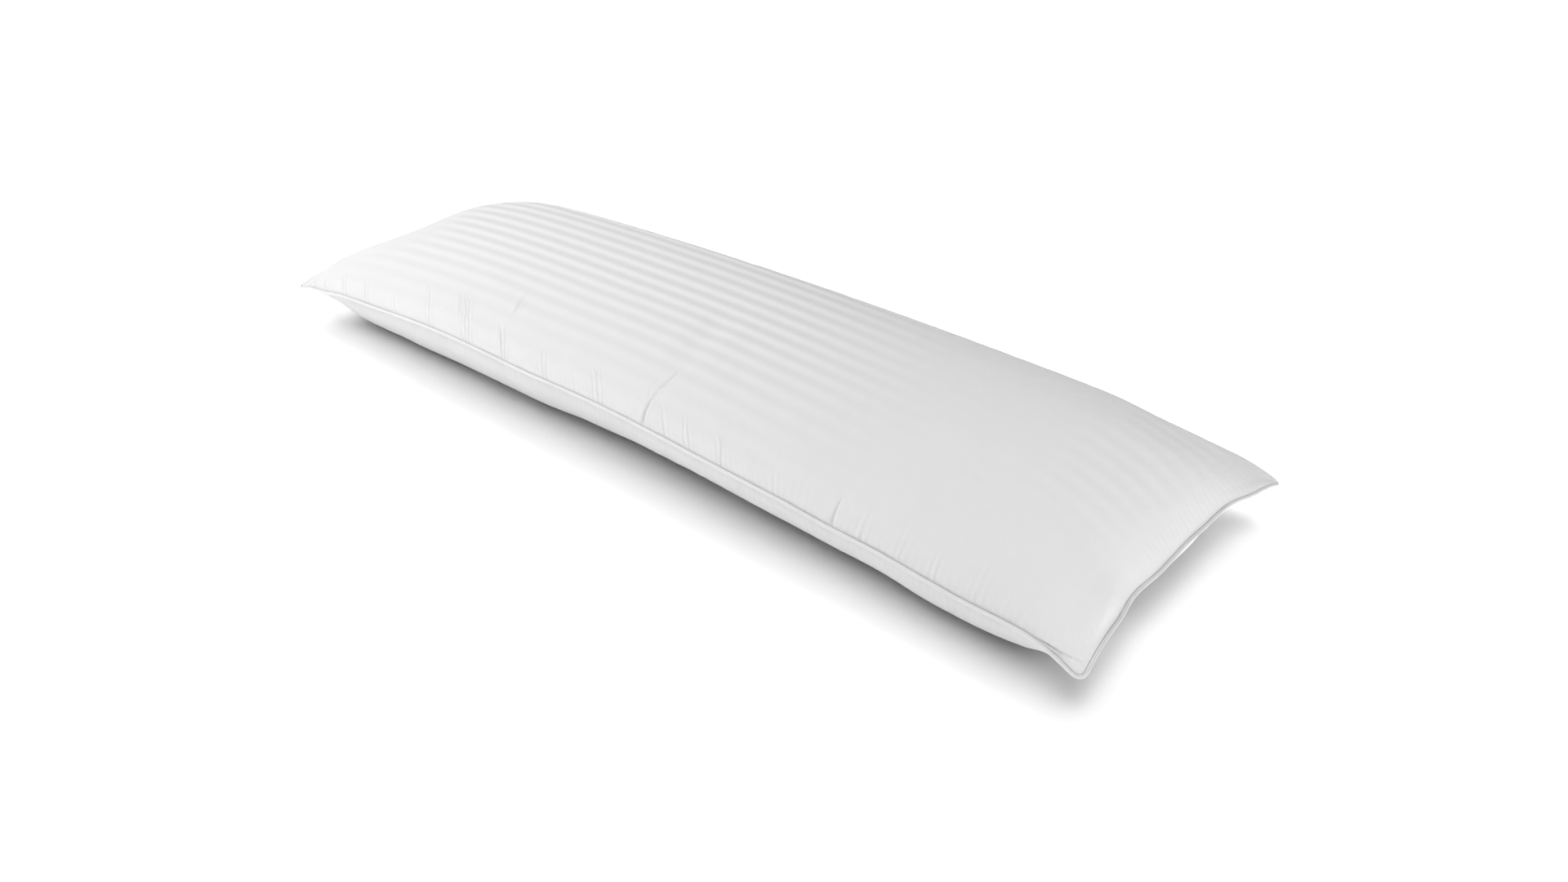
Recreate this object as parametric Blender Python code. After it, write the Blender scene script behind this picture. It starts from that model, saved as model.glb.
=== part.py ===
"""A long down pillow, filled, lying on its back, with a piped seam all round.

Metres, +Z up. The origin is under the middle of the pillow, on the surface that it lies on.
+X runs along the pillow, and -Y is its near long side.
"""
from collections import namedtuple
from math import pi, radians

import bmesh
import bpy
import numpy as np

# The two panels before filling, seam to seam
CUT_LENGTH = 1.524
CUT_WIDTH = 0.508

# The filled pillow on plan: tip to tip, and how far its sides and ends are drawn in between the tips
LENGTH = 1.504
WIDTH = 0.476
SIDE_DRAWN_IN = 0.012
END_DRAWN_IN = 0.015
CORNER_ROUND = 0.011

# The seam's height over the floor at a tip, and how much higher it lies halfway along a side or an end
TIP_HEIGHT = 0.055
SIDE_RISE = 0.028
END_RISE = 0.010

# The crown above the seam and the belly below it, and how square each section is
CROWN_HEIGHT = 0.0728
CROWN_POWER = 2.4
BELLY_DEPTH = 0.101
BELLY_POWER = 3.3
SECTION_FULLNESS = 0.51
END_POWER = 9.4
END_FULLNESS = 0.85
CONTACT_SOFTNESS = 0.010

# The corners are flat ears that droop
EAR_REACH = 0.075
EAR_DROOP = 0.0145
EAR_THINNING = 0.37

# The seam's sewn edge and the piping in it
SEAM_THICKNESS = 0.002
PIPING_DIAMETER = 0.0045
CLEARANCE = 0.0005
PIPING_STEP = 0.015
PIPING_TURN = radians(18)

# Mesh cells along and across each panel, and how much closer the rows lie at the seams
COLUMNS = 88
ROWS = 32
ROW_CROWDING = 0.40

# Where the seam bows out (or in, where negative) and rises from its even curve, by the side of the
# pillow. The middle is measured along that side, from the pillow's own middle.
Bow = namedtuple("Bow", "side middle half_length outward rise")
SEAM_BOWS = (
    Bow("near", middle=-0.68, half_length=0.07, outward=0, rise=-0.0048),
    Bow("near", middle=-0.34, half_length=0.24, outward=0, rise=0.0044),
    Bow("near", middle=0.02, half_length=0.20, outward=-0.0035, rise=0),
    Bow("near", middle=0.30, half_length=0.16, outward=0.002, rise=0),
    Bow("near", middle=0.42, half_length=0.09, outward=0, rise=-0.0028),
    Bow("near", middle=0.56, half_length=0.12, outward=0.002, rise=0),
    Bow("near", middle=0.70, half_length=0.11, outward=0, rise=0.005),
    Bow("far", middle=0.675, half_length=0.07, outward=0.004, rise=0.004),
    Bow("right", middle=-0.105, half_length=0.055, outward=-0.005, rise=0),
    Bow("right", middle=0.03, half_length=0.12, outward=-0.004, rise=0),
    Bow("right", middle=0.14, half_length=0.06, outward=-0.003, rise=0),
    Bow("right", middle=0.235, half_length=0.05, outward=0, rise=-0.004),
)
OUTWARD = {"near": (0, -1), "far": (0, 1), "right": (1, 0)}
BOW_FADE = 2
END_BOW_FADE = 12

# Where a panel is fuller (or slacker, where negative). Places on the cloth are measured along it from
# its middle, and across it from the near seam. The seam holds the cloth still along its own edge.
Swell = namedtuple("Swell", "panel along across half_length half_width height")
SWELLS = (
    Swell("top", along=-0.70, across=0.08, half_length=0.10, half_width=0.09, height=0.002),
    Swell("top", along=-0.69, across=0.20, half_length=0.10, half_width=0.09, height=-0.004),
    Swell("top", along=-0.68, across=0.33, half_length=0.10, half_width=0.09, height=0.0035),
    Swell("top", along=0.742, across=0.09, half_length=0.03, half_width=0.06, height=0.005),
    Swell("bottom", along=0.742, across=0.27, half_length=0.03, half_width=0.12, height=0.008),
    Swell("bottom", along=-0.70, across=0.254, half_length=0.13, half_width=0.30, height=-0.020),
    Swell("bottom", along=-0.64, across=0.05, half_length=0.12, half_width=0.05, height=-0.0013),
    Swell("bottom", along=-0.40, across=0.05, half_length=0.12, half_width=0.05, height=0.0038),
    Swell("bottom", along=-0.28, across=0.05, half_length=0.12, half_width=0.05, height=0.0044),
    Swell("bottom", along=-0.16, across=0.05, half_length=0.12, half_width=0.05, height=0.0035),
    Swell("bottom", along=-0.04, across=0.05, half_length=0.12, half_width=0.05, height=-0.0005),
    Swell("bottom", along=0.08, across=0.05, half_length=0.12, half_width=0.05, height=-0.0029),
    Swell("bottom", along=0.20, across=0.05, half_length=0.12, half_width=0.05, height=-0.0043),
    Swell("bottom", along=0.32, across=0.05, half_length=0.12, half_width=0.05, height=-0.0038),
    Swell("bottom", along=0.44, across=0.05, half_length=0.12, half_width=0.05, height=-0.0054),
    Swell("bottom", along=0.56, across=0.05, half_length=0.12, half_width=0.05, height=-0.0008),
    Swell("bottom", along=0.68, across=0.05, half_length=0.12, half_width=0.05, height=0.0032),
)
SEAM_HOLD = 0.014

# The creases of the top panel, each a sunk line between two low ridges: the deep one across the near
# half, the slanting one to its left, the tuck beside the near right ear, and the puckers that drag up
# from the near seam
CREASE_RIDGES = 1.5
Crease = namedtuple("Crease", "start_along start_across end_along end_across half_width depth")
CREASES = (
    Crease(0.108, 0.108, 0.101, 0.004, half_width=0.015, depth=0.009),
    Crease(-0.260, 0.152, -0.208, 0.058, half_width=0.015, depth=0.004),
    Crease(0.655, 0.004, 0.745, 0.034, half_width=0.012, depth=0.005),
    Crease(-0.636, 0.044, -0.575, 0.004, half_width=0.013, depth=0.003),
    Crease(-0.565, 0.042, -0.509, 0.006, half_width=0.013, depth=0.003),
    Crease(-0.418, 0.068, -0.355, 0.018, half_width=0.013, depth=0.004),
    Crease(-0.332, 0.072, -0.264, 0.008, half_width=0.016, depth=0.006),
    Crease(-0.214, 0.052, -0.174, 0.008, half_width=0.014, depth=0.005),
    Crease(-0.126, 0.046, -0.090, 0.010, half_width=0.013, depth=0.003),
    Crease(-0.026, 0.044, 0.006, 0.005, half_width=0.014, depth=0.005),
    Crease(0.165, 0.040, 0.178, 0.010, half_width=0.013, depth=0.003),
    Crease(0.220, 0.036, 0.240, 0.006, half_width=0.013, depth=0.003),
    Crease(0.404, 0.042, 0.424, 0.008, half_width=0.013, depth=0.004),
    Crease(0.496, 0.068, 0.522, 0.024, half_width=0.014, depth=0.004),
    Crease(0.598, 0.042, 0.628, 0.010, half_width=0.013, depth=0.003),
)


def clear_scene():
    for old in list(bpy.data.objects):
        bpy.data.objects.remove(old, do_unlink=True)


def new_material(name, colour, roughness):
    material = bpy.data.materials.new(name)
    material.use_nodes = True
    shader = material.node_tree.nodes["Principled BSDF"]
    shader.inputs["Base Color"].default_value = (*colour, 1)
    shader.inputs["Roughness"].default_value = roughness
    shader.inputs["Metallic"].default_value = 0
    return material


def hump(t):
    """1 at zero, falling smoothly to 0 at -1 and 1."""
    return np.cos(np.clip(t, -1, 1) * pi / 2) ** 2


def section(t, power, fullness):
    """The height of a filled section, 1 in its middle and 0 at its seams, where t is -1 and 1."""
    return np.clip(1 - np.abs(t) ** power, 0, None) ** fullness


def even_on_cloth(half, height_at, samples=241):
    """Gives the function that turns even steps on the cloth into steps on plan."""
    plan = np.sin(np.linspace(0, pi / 2, samples))
    stretch = np.hypot(np.diff(plan) * half, np.diff(height_at(plan)))
    cloth = np.concatenate([[0], np.cumsum(stretch)])
    return lambda step: np.sign(step) * np.interp(np.abs(step), cloth / cloth[-1], plan)


across_on_plan = even_on_cloth(
    WIDTH / 2 - SIDE_DRAWN_IN,
    lambda t: CROWN_HEIGHT * section(t, CROWN_POWER, SECTION_FULLNESS))
along_on_plan = even_on_cloth(
    LENGTH / 2 - END_DRAWN_IN,
    lambda t: CROWN_HEIGHT * section(t, END_POWER, END_FULLNESS) + SIDE_RISE * (1 - t ** 2))


def bow_share(bow, x, y):
    """How much of a bow reaches the point x, y: 1 on its stretch of seam, fading over the panel."""
    if bow.side == "right":
        return hump((y - bow.middle) / bow.half_length) * np.clip(2 * x / LENGTH, 0, 1) ** END_BOW_FADE
    nearness = 0.5 - y / WIDTH if bow.side == "near" else 0.5 + y / WIDTH
    return hump((x - bow.middle) / bow.half_length) * np.clip(nearness, 0, 1) ** BOW_FADE


def place_on_plan(u, v):
    """Where the cloth point u, v lies on plan, with the outline drawn in and its corners rounded."""
    along, across = along_on_plan(u), across_on_plan(v)
    x = along * (LENGTH / 2 - END_DRAWN_IN * (1 - across ** 2))
    y = across * (WIDTH / 2 - SIDE_DRAWN_IN * (1 - along ** 4))
    even_x, even_y = x, y
    for bow in SEAM_BOWS:
        outward_x, outward_y = OUTWARD[bow.side]
        push = bow.outward * bow_share(bow, even_x, even_y)
        x, y = x + outward_x * push, y + outward_y * push

    corner_x, corner_y = LENGTH / 2 - CORNER_ROUND, WIDTH / 2 - CORNER_ROUND
    in_x = np.clip((np.abs(x) - corner_x) / CORNER_ROUND, 0, 1)
    in_y = np.clip((np.abs(y) - corner_y) / CORNER_ROUND, 0, 1)
    in_corner = (in_x > 0) & (in_y > 0)
    round_x = corner_x + CORNER_ROUND * in_x * np.sqrt(1 - in_y ** 2 / 2)
    round_y = corner_y + CORNER_ROUND * in_y * np.sqrt(1 - in_x ** 2 / 2)
    x = np.where(in_corner, np.sign(x) * round_x, x)
    y = np.where(in_corner, np.sign(y) * round_y, y)
    return x, y, along, across


def nearness_to_tip(x, y):
    """1 at a tip, falling to 0 where its ear ends."""
    from_tip = np.hypot(LENGTH / 2 - np.abs(x), WIDTH / 2 - np.abs(y))
    return np.clip(1 - from_tip / EAR_REACH, 0, None)


def seam_height(x, y, along, across):
    rise = SIDE_RISE * (1 - along ** 2) + END_RISE * (1 - across ** 2) * along ** 2
    rise = rise + sum(bow.rise * bow_share(bow, x, y) for bow in SEAM_BOWS)
    return TIP_HEIGHT + rise - EAR_DROOP * nearness_to_tip(x, y) ** 2


def rest_on_floor(z):
    """Flattens what would sink below the floor, with a short soft edge round the flat."""
    eased = (z + CONTACT_SOFTNESS) ** 2 / (4 * CONTACT_SOFTNESS)
    return np.where(z < -CONTACT_SOFTNESS, 0, np.where(z > CONTACT_SOFTNESS, z, eased))


def panel_points(u, v, is_top):
    """The points of the filled pillow's skin for cloth points u, v of the top or the bottom panel."""
    x, y, along, across = place_on_plan(u, v)
    seam = seam_height(x, y, along, across)
    thickness = section(along, END_POWER, END_FULLNESS) * (1 - EAR_THINNING * nearness_to_tip(x, y))
    crown = CROWN_HEIGHT * section(across, CROWN_POWER, SECTION_FULLNESS) * thickness
    belly = BELLY_DEPTH * section(across, BELLY_POWER, SECTION_FULLNESS) * thickness
    top = seam + crown + SEAM_THICKNESS / 2
    bottom = rest_on_floor(seam - belly - SEAM_THICKNESS / 2)
    return np.stack([x, y, np.where(is_top, top, bottom)], axis=-1)


def crease_push(crease, along, across):
    """How far a crease pushes the cloth out (or in, where negative)."""
    run_along = crease.end_along - crease.start_along
    run_across = crease.end_across - crease.start_across
    length = np.hypot(run_along, run_across)
    past_start, over_start = along - crease.start_along, across - crease.start_across
    done = (past_start * run_along + over_start * run_across) / length ** 2
    t = (past_start * run_across - over_start * run_along) / length / crease.half_width
    return -crease.depth * hump(2 * done - 1) * (1 - CREASE_RIDGES * t ** 2) * np.exp(-t ** 2)


def skin_push(u, v, is_top):
    """How far the swells and creases push each cloth point out along the skin's normal."""
    along, across = u * CUT_LENGTH / 2, (v + 1) * CUT_WIDTH / 2
    push = np.zeros_like(u)
    for swell in SWELLS:
        where = is_top if swell.panel == "top" else ~is_top
        by_length = hump((along - swell.along) / swell.half_length)
        by_width = hump((across - swell.across) / swell.half_width)
        push += np.where(where, swell.height * by_length * by_width, 0)
    for crease in CREASES:
        push += np.where(is_top, crease_push(crease, along, across), 0)
    from_seam = np.minimum(np.minimum(across, CUT_WIDTH - across), CUT_LENGTH / 2 - np.abs(along))
    return push * np.clip(from_seam / SEAM_HOLD, 0, 1) ** 2


def crowded(v):
    """Moves evenly spaced rows towards the two long seams, where the puckers are."""
    return v + ROW_CROWDING * np.sin(pi * v) / pi


def make_filled_cover():
    """Both panels and the filling as one solid: a block cut into cells and moved onto the skin."""
    bm = bmesh.new()
    bmesh.ops.create_cube(bm, size=2)
    for axis, cells in ((0, COLUMNS), (1, ROWS)):
        edges = [e for e in bm.edges if abs(e.verts[0].co[axis] - e.verts[1].co[axis]) > 1]
        bmesh.ops.subdivide_edges(bm, edges=edges, cuts=cells - 1, use_grid_fill=True)

    corners = np.array([vertex.co for vertex in bm.verts])
    u, v, is_top = corners[:, 0], crowded(corners[:, 1]), corners[:, 2] > 0
    for vertex, point in zip(bm.verts, panel_points(u, v, is_top)):
        vertex.co = point
    bm.normal_update()
    for vertex, push in zip(bm.verts, skin_push(u, v, is_top)):
        vertex.co += vertex.normal * float(push)
        vertex.co.z = max(vertex.co.z, 0)

    mesh = bpy.data.meshes.new("filled_cover")
    bm.to_mesh(mesh)
    bm.free()
    mesh.shade_smooth()
    mesh.set_sharp_from_angle(angle=radians(60))
    mesh.materials.append(new_material("white_striped_cotton", (0.86, 0.86, 0.85), 0.75))
    return bpy.data.objects.new("filled_cover", mesh)


def seam_line(points_a_side=600):
    """The seam's middle line, once round from the near left tip, seen from above anticlockwise."""
    there = np.linspace(-1, 1, points_a_side, endpoint=False)
    one = np.ones_like(there)
    u = np.concatenate([there, one, -there, -one])
    v = np.concatenate([-one, there, one, -there])
    x, y, along, across = place_on_plan(u, v)
    return np.stack([x, y, seam_height(x, y, along, across)], axis=-1)


def make_piping():
    """The cord in the seam: a tube beside the sewn edge, its stations closer where it turns."""
    line = seam_line()
    ahead = np.roll(line, -1, axis=0) - line
    passing = ahead + np.roll(ahead, 1, axis=0)
    outward = np.stack([passing[:, 1], -passing[:, 0], np.zeros(len(line))], axis=-1)
    outward /= np.linalg.norm(outward, axis=1, keepdims=True)
    line = line + outward * (PIPING_DIAMETER / 2 + CLEARANCE)

    heading = np.unwrap(np.arctan2(ahead[:, 1], ahead[:, 0]))
    turned = np.abs(np.diff(heading, prepend=heading[0]))
    covered = np.cumsum(np.linalg.norm(ahead, axis=1) / PIPING_STEP + turned / PIPING_TURN)
    stations = np.linspace(covered[0], covered[-1], int(covered[-1]), endpoint=False)
    path = np.stack([np.interp(stations, covered, line[:, axis]) for axis in range(3)], axis=-1)

    curve = bpy.data.curves.new("piping", "CURVE")
    curve.dimensions = "3D"
    curve.bevel_depth = PIPING_DIAMETER / 2
    curve.bevel_resolution = 2
    curve.use_fill_caps = True
    spline = curve.splines.new("POLY")
    spline.points.add(len(path) - 1)
    spline.points.foreach_set("co", np.c_[path, np.ones(len(path))].ravel())
    spline.use_cyclic_u = True
    curve.materials.append(new_material("white_piping", (0.90, 0.90, 0.89), 0.6))
    return bpy.data.objects.new("piping", curve)


clear_scene()
pillow = bpy.data.collections.new("Down pillow")
bpy.context.scene.collection.children.link(pillow)
for piece in (make_filled_cover(), make_piping()):
    pillow.objects.link(piece)
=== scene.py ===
# %% [markdown]
# # A long down pillow
# This lesson dresses the plain solids of a down pillow as the real thing: two panels of white cotton
# woven in satin and plain stripes, sewn together round a piped edge and filled with down.
# The solids come from the frame, in metres. +X runs along the pillow, -Y is its near long side, and
# the pillow lies on its back on the floor at z = 0.

# %% Load the frame and measure it
from collections import namedtuple
from math import cos, pi, radians, sin

import bmesh
import bpy
import numpy as np
from mathutils import Matrix, Vector


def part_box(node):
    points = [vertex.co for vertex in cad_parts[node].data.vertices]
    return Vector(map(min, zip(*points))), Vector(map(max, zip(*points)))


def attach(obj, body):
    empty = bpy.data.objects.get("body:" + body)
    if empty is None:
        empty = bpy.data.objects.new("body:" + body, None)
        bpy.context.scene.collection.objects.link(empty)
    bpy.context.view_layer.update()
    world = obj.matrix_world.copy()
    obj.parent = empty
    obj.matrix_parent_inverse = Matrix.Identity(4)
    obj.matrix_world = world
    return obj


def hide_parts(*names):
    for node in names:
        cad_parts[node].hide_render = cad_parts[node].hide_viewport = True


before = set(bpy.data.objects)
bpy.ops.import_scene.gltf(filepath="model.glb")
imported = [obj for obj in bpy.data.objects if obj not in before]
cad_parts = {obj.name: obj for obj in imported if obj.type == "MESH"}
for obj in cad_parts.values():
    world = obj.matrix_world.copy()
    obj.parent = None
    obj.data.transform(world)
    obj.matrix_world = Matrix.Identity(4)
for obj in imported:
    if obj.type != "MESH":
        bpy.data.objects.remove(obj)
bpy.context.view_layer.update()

cover_low, cover_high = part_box("filled_cover")
print("solid cover:", [round(side * 1000, 1) for side in cover_high - cover_low], "mm")

# %% [markdown]
# ## Camera
# The photograph looks down at the pillow from above its near right corner. A camera could be placed by
# hand and eye, but four numbers that a photographer would note are easier to read: the compass angle
# round the pillow, the angle above the floor, the distance, and a slight roll of the camera.

# %% Place the camera
IMAGE_WIDTH = 1920
FOCAL_PIXELS = 1487.3
SENSOR_MM = 36
CAMERA_AZIMUTH = radians(42.42)
CAMERA_ELEVATION = radians(30.69)
CAMERA_ROLL = radians(-1.01)
CAMERA_DISTANCE = 1.532
CAMERA_TARGET = Vector((0.2627, -0.1297, 0.08))


def photo_camera():
    level = cos(CAMERA_ELEVATION)
    towards = Vector((sin(CAMERA_AZIMUTH) * level, -cos(CAMERA_AZIMUTH) * level, sin(CAMERA_ELEVATION)))
    right = Vector((cos(CAMERA_AZIMUTH), sin(CAMERA_AZIMUTH), 0))
    pose = Matrix((right, towards.cross(right), towards)).transposed().to_4x4()
    pose = pose @ Matrix.Rotation(CAMERA_ROLL, 4, "Z")
    pose.translation = CAMERA_TARGET + towards * CAMERA_DISTANCE
    data = bpy.data.cameras.new("photo_camera")
    data.sensor_width = SENSOR_MM
    data.lens = SENSOR_MM * FOCAL_PIXELS / IMAGE_WIDTH
    camera = bpy.data.objects.new("photo_camera", data)
    camera.matrix_world = pose
    bpy.context.scene.collection.objects.link(camera)
    return camera


bpy.context.scene.camera = photo_camera()
print("lens:", round(bpy.context.scene.camera.data.lens, 1), "mm")

# %% [markdown]
# ## Floor
# The pillow lies on white paper that runs on behind it, as in a studio. A curved backdrop would do too,
# but this camera looks down and sees no horizon, so one large plane is enough. It lies a hair below
# z = 0, so that it never shows through the cloth that rests on it.

# %% Make the floor
FLOOR_SIZE = 14.0
FLOOR_GAP = 0.0003
PAPER_WHITE = (0.92, 0.92, 0.92, 1)
PAPER_ROUGHNESS = 0.9
PAPER_GLOSS = 0.1


def make_floor():
    bpy.ops.mesh.primitive_plane_add(size=FLOOR_SIZE, location=(0, 0, -FLOOR_GAP))
    floor = bpy.context.object
    floor.name = "floor"
    paper = bpy.data.materials.new("white_paper")
    paper.use_nodes = True
    shader = paper.node_tree.nodes["Principled BSDF"]
    shader.inputs["Base Color"].default_value = PAPER_WHITE
    shader.inputs["Roughness"].default_value = PAPER_ROUGHNESS
    shader.inputs["Specular IOR Level"].default_value = PAPER_GLOSS
    floor.data.materials.append(paper)
    return floor


floor = make_floor()
print("floor:", FLOOR_SIZE, "m a side")

# %% [markdown]
# ## Light on the floor
# The photograph is a white pillow on a white ground, with one soft shadow that is widest along the near
# side. In a studio, the ground of such a picture has lights of its own, so that it stays white while
# the pillow keeps its greys. Here they light nothing but the floor: a wide one overhead for the soft
# shadow, smaller ones that pull it to the near side, a very small one that reaches under the lifted
# left end, and two far ones for the ground behind.

# %% A soft light
bpy.context.scene.view_settings.view_transform = "Standard"


def softbox(name, place, aim, size, watts, lights_only=None):
    """A round soft light; with lights_only it reaches just those objects."""
    data = bpy.data.lights.new(name, "AREA")
    data.shape = "DISK"
    data.size = size
    data.energy = watts
    light = bpy.data.objects.new(name, data)
    light.location = place
    light.rotation_euler = (Vector(aim) - Vector(place)).to_track_quat("-Z", "Y").to_euler()
    bpy.context.scene.collection.objects.link(light)
    if lights_only:
        receivers = bpy.data.collections.new(name + "_receivers")
        for receiver in lights_only:
            receivers.objects.link(receiver)
        light.light_linking.receiver_collection = receivers
    return light


# %% Light the floor and the room
OVER_FLOOR = (0, 0, 0)
ROOM_LIGHT = 0.065
for name, place, size, watts in (
        ("floor_overhead", (0, 0, 3.0), 5.0, 88),
        ("floor_back", (0, 2.06, 2.45), 1.6, 10),
        ("floor_back_left", (-1.45, 1.45, 2.45), 1.6, 55),
        ("floor_low_left", (-2.45, 1.41, 1.50), 1.2, 48),
        ("floor_low_right", (2.65, 0.70, 1.50), 1.2, 10),
        ("floor_right", (1.12, 0, 2.78), 1.2, 8),
        ("floor_front_right", (0.80, -0.80, 2.78), 1.2, 12),
        ("floor_low_front_right", (1.50, -1.50, 2.12), 1.4, 8)):
    softbox(name, place, OVER_FLOOR, size, watts, lights_only=[floor])
for name, place, aim, size, watts in (
        ("floor_under_ear", (-1.35, -0.45, 0.35), (-0.72, -0.2, 0), 0.4, 1.3),
        ("floor_far_back", (0.6, 5.4, 2.2), (0.5, 5.0, 0), 2.0, 99),
        ("floor_far_left", (-4.8, 0.6, 2.2), (-4.6, 0.5, 0), 2.0, 76)):
    softbox(name, place, aim, size, watts, lights_only=[floor])

world = bpy.data.worlds.new("studio")
world.use_nodes = True
world.node_tree.nodes["Background"].inputs["Color"].default_value = (1, 1, 1, 1)
world.node_tree.nodes["Background"].inputs["Strength"].default_value = ROOM_LIGHT
bpy.context.scene.world = world

# %% [markdown]
# ## The filled form
# A pillow's panels are flat rectangles. Filled, they rise to a crown that is steep at the seam and flat
# in the middle, the sides and ends draw in between the corners, and the corners stay behind as flat
# ears that droop. Blender could inflate two flat sheets, but then nobody decides where the outline
# ends up. Here each point of the cloth is placed by its distances along and across the panel, so that
# the stripes, which are woven in, follow the cloth by themselves.
#
# A cloth point is named u, v: u runs from -1 at the left end to 1 at the right end, and v from -1 at
# the near seam to 1 at the far seam.

# %% Sections that are even in cloth
CUT_LENGTH = 1.524
CUT_WIDTH = 0.508
LENGTH = 1.504
WIDTH = 0.476
SIDE_DRAWN_IN = 0.012
END_DRAWN_IN = 0.015
SIDE_RISE = 0.028
CROWN_HEIGHT = 0.0728
CROWN_POWER = 2.4
SECTION_FULLNESS = 0.51
END_POWER = 9.4
END_FULLNESS = 0.85
PLAN_STEPS = 240


def section(t, power, fullness):
    """The height of a filled section, 1 in its middle and 0 at its seams, where t is -1 and 1."""
    return np.clip(1 - np.abs(t) ** power, 0, None) ** fullness


def even_on_cloth(half, height_at):
    """Gives the function that turns even steps on the cloth into steps on plan."""
    plan = np.sin(np.linspace(0, pi / 2, PLAN_STEPS + 1))
    stretch = np.hypot(np.diff(plan) * half, np.diff(height_at(plan)))
    cloth = np.concatenate([[0], np.cumsum(stretch)])
    print("cloth over the section:", round(2 * cloth[-1] * 1000), "mm")
    return lambda step: np.sign(step) * np.interp(np.abs(step), cloth / cloth[-1], plan)


across_on_plan = even_on_cloth(
    WIDTH / 2 - SIDE_DRAWN_IN,
    lambda t: CROWN_HEIGHT * section(t, CROWN_POWER, SECTION_FULLNESS))
along_on_plan = even_on_cloth(
    LENGTH / 2 - END_DRAWN_IN,
    lambda t: CROWN_HEIGHT * section(t, END_POWER, END_FULLNESS) + SIDE_RISE * (1 - t ** 2))

# %% [markdown]
# ## The seam's bows
# The seam of a filled pillow is never quite straight: it is pushed out where the down is thick and
# dragged in where the cloth gathers. A brush could push it about, but nobody can read or repeat a
# brush stroke. Each bow here is a row of a table: the side it is on, where its middle is and how far
# it reaches on either hand, and how far it moves the seam outward and up. All are in metres.

# %% Bow the seam
Bow = namedtuple("Bow", "side middle half_length outward rise")
SEAM_BOWS = (
    Bow("near", middle=-0.68, half_length=0.07, outward=0, rise=-0.0048),
    Bow("near", middle=-0.34, half_length=0.24, outward=0, rise=0.0044),
    Bow("near", middle=0.02, half_length=0.20, outward=-0.0035, rise=0),
    Bow("near", middle=0.30, half_length=0.16, outward=0.002, rise=0),
    Bow("near", middle=0.42, half_length=0.09, outward=0, rise=-0.0028),
    Bow("near", middle=0.56, half_length=0.12, outward=0.002, rise=0),
    Bow("near", middle=0.70, half_length=0.11, outward=0, rise=0.0050),
    Bow("far", middle=0.675, half_length=0.07, outward=0.0024, rise=0),
    Bow("right", middle=-0.105, half_length=0.055, outward=-0.006, rise=-0.002),
    Bow("right", middle=0.03, half_length=0.08, outward=-0.002, rise=0.001),
    Bow("right", middle=0.11, half_length=0.07, outward=-0.004, rise=0.003),
    Bow("right", middle=0.175, half_length=0.06, outward=0.0023, rise=-0.0015),
)
OUTWARD = {"near": (0, -1), "far": (0, 1), "right": (1, 0)}
BOW_FADE = 2
END_BOW_FADE = 12


def hump(t):
    """1 at zero, falling smoothly to 0 at -1 and 1."""
    return np.cos(np.clip(t, -1, 1) * pi / 2) ** 2


def bow_share(bow, x, y):
    """How much of a bow reaches the point x, y: 1 on its stretch of seam, fading over the panel."""
    if bow.side == "right":
        return hump((y - bow.middle) / bow.half_length) * np.clip(2 * x / LENGTH, 0, 1) ** END_BOW_FADE
    nearness = 0.5 - y / WIDTH if bow.side == "near" else 0.5 + y / WIDTH
    return hump((x - bow.middle) / bow.half_length) * np.clip(nearness, 0, 1) ** BOW_FADE


print(len(SEAM_BOWS), "bows of the seam")

# %% The outline on plan
SIDE_EVENNESS = 4
CORNER_ROUND = 0.011


def place_on_plan(u, v):
    """Where the cloth point u, v lies on plan, with the outline drawn in and its corners rounded."""
    along, across = along_on_plan(u), across_on_plan(v)
    x = along * (LENGTH / 2 - END_DRAWN_IN * (1 - across ** 2))
    y = across * (WIDTH / 2 - SIDE_DRAWN_IN * (1 - along ** SIDE_EVENNESS))
    even_x, even_y = x, y
    for bow in SEAM_BOWS:
        outward_x, outward_y = OUTWARD[bow.side]
        push = bow.outward * bow_share(bow, even_x, even_y)
        x, y = x + outward_x * push, y + outward_y * push

    corner_x, corner_y = LENGTH / 2 - CORNER_ROUND, WIDTH / 2 - CORNER_ROUND
    in_x = np.clip((np.abs(x) - corner_x) / CORNER_ROUND, 0, 1)
    in_y = np.clip((np.abs(y) - corner_y) / CORNER_ROUND, 0, 1)
    in_corner = (in_x > 0) & (in_y > 0)
    round_x = corner_x + CORNER_ROUND * in_x * np.sqrt(1 - in_y ** 2 / 2)
    round_y = corner_y + CORNER_ROUND * in_y * np.sqrt(1 - in_x ** 2 / 2)
    x = np.where(in_corner, np.sign(x) * round_x, x)
    y = np.where(in_corner, np.sign(y) * round_y, y)
    return x, y, along, across


near_middle_y = float(place_on_plan(0, -1)[1])
print("near seam at the middle: y", round(near_middle_y * 1000, 1), "mm")

# %% [markdown]
# ## Heights
# Seen from the side, the seam of a full pillow rises from its tips to its middle. The crown of the top
# panel stands on the seam, and the belly of the bottom panel hangs from it and is flattened where it
# rests. The tips hold little down, so they are thin and droop.

# %% Heights of the seam, the crown and the belly
TIP_HEIGHT = 0.055
END_RISE = 0.010
BELLY_DEPTH = 0.101
BELLY_POWER = 3.3
CONTACT_SOFTNESS = 0.010
EAR_REACH = 0.075
EAR_DROOP = 0.0145
EAR_THINNING = 0.37
SEAM_THICKNESS = 0.002


def nearness_to_tip(x, y):
    """1 at a tip, falling to 0 where its ear ends."""
    from_tip = np.hypot(LENGTH / 2 - np.abs(x), WIDTH / 2 - np.abs(y))
    return np.clip(1 - from_tip / EAR_REACH, 0, None)


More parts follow.
